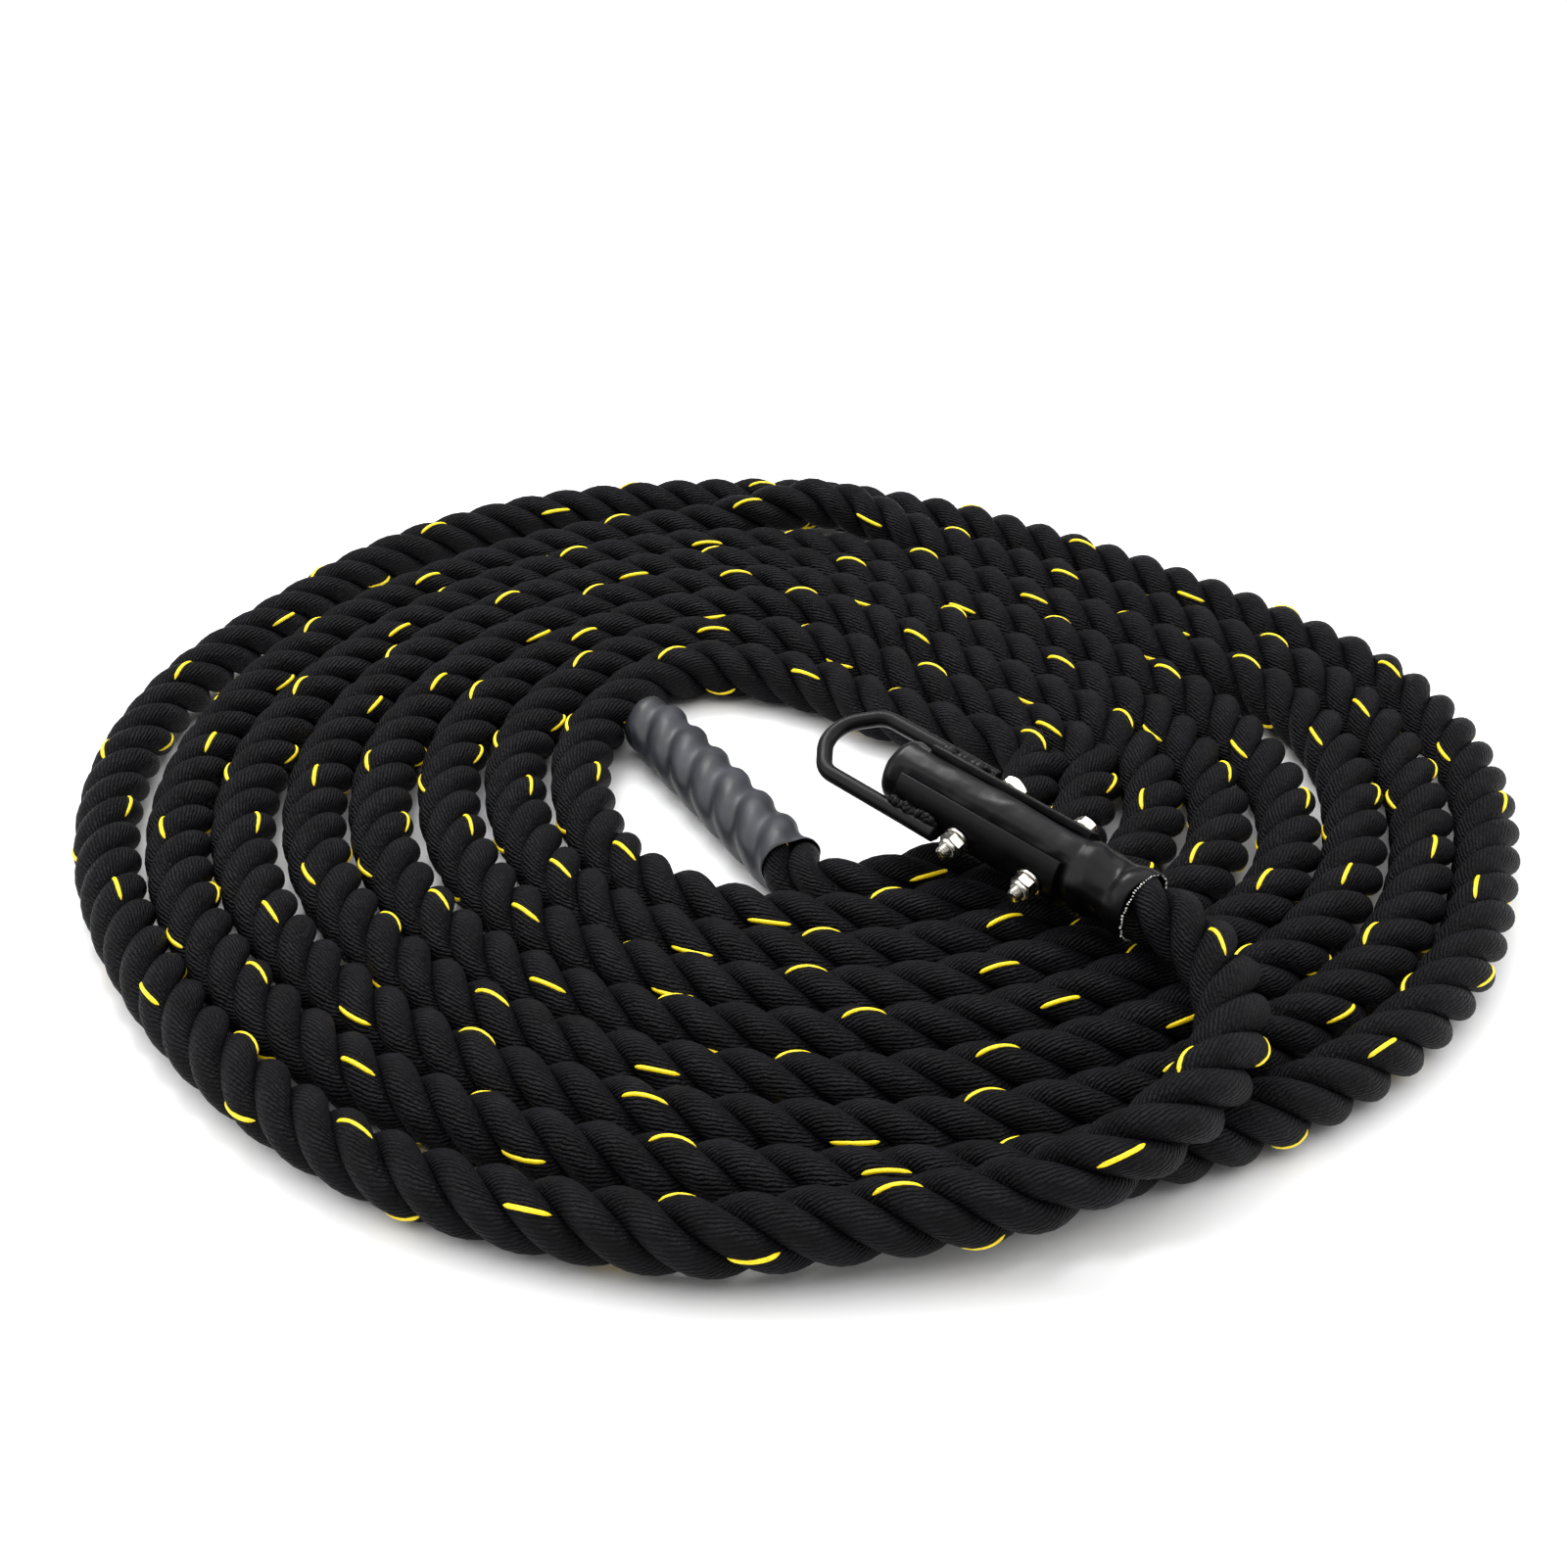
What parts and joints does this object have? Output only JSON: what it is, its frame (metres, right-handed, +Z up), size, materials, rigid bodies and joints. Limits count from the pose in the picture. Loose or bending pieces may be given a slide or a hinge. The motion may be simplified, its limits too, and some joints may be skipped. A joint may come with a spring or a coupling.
{
  "type": "climbing rope",
  "caption": "Thick laid climbing rope in a flat coil, with a bolted steel clamp and welded hanging loop on one end and a shrink cap on the other.",
  "frame": {"origin": "on the floor at the middle of the coil", "axes": "+Z up, the bracket's loop points to -X and +Y from the clamp, +Y away from the viewer"},
  "size_m": [0.8664, 0.8661, 0.0924],
  "materials": {
    "rope": "matte",
    "bracket_sleeve": "satin",
    "end_cap": "satin",
    "adhesive": "matte",
    "black_steel": "satin",
    "plated_steel": "polished",
    "nylon": "matte"
  },
  "bodies": {
    "root": {"rope_coil": "rope", "rope_lead": "rope", "rope_tail": "rope", "rope_in_bracket": "rope", "rope_in_cap": "rope", "bracket_sleeve": "bracket_sleeve", "sleeve_adhesive": "adhesive", "end_cap": "end_cap", "clamp_plate_near": "black_steel", "clamp_plate_far": "black_steel", "hanging_loop": "black_steel", "weld_near_upper": "black_steel", "weld_near_lower": "black_steel", "weld_far_upper": "black_steel", "weld_far_lower": "black_steel", "hex_bolts": "plated_steel", "head_washers": "plated_steel", "nut_washers": "plated_steel", "lock_nuts": "plated_steel", "nylon_inserts": "nylon"}
  },
  "joints": []
}
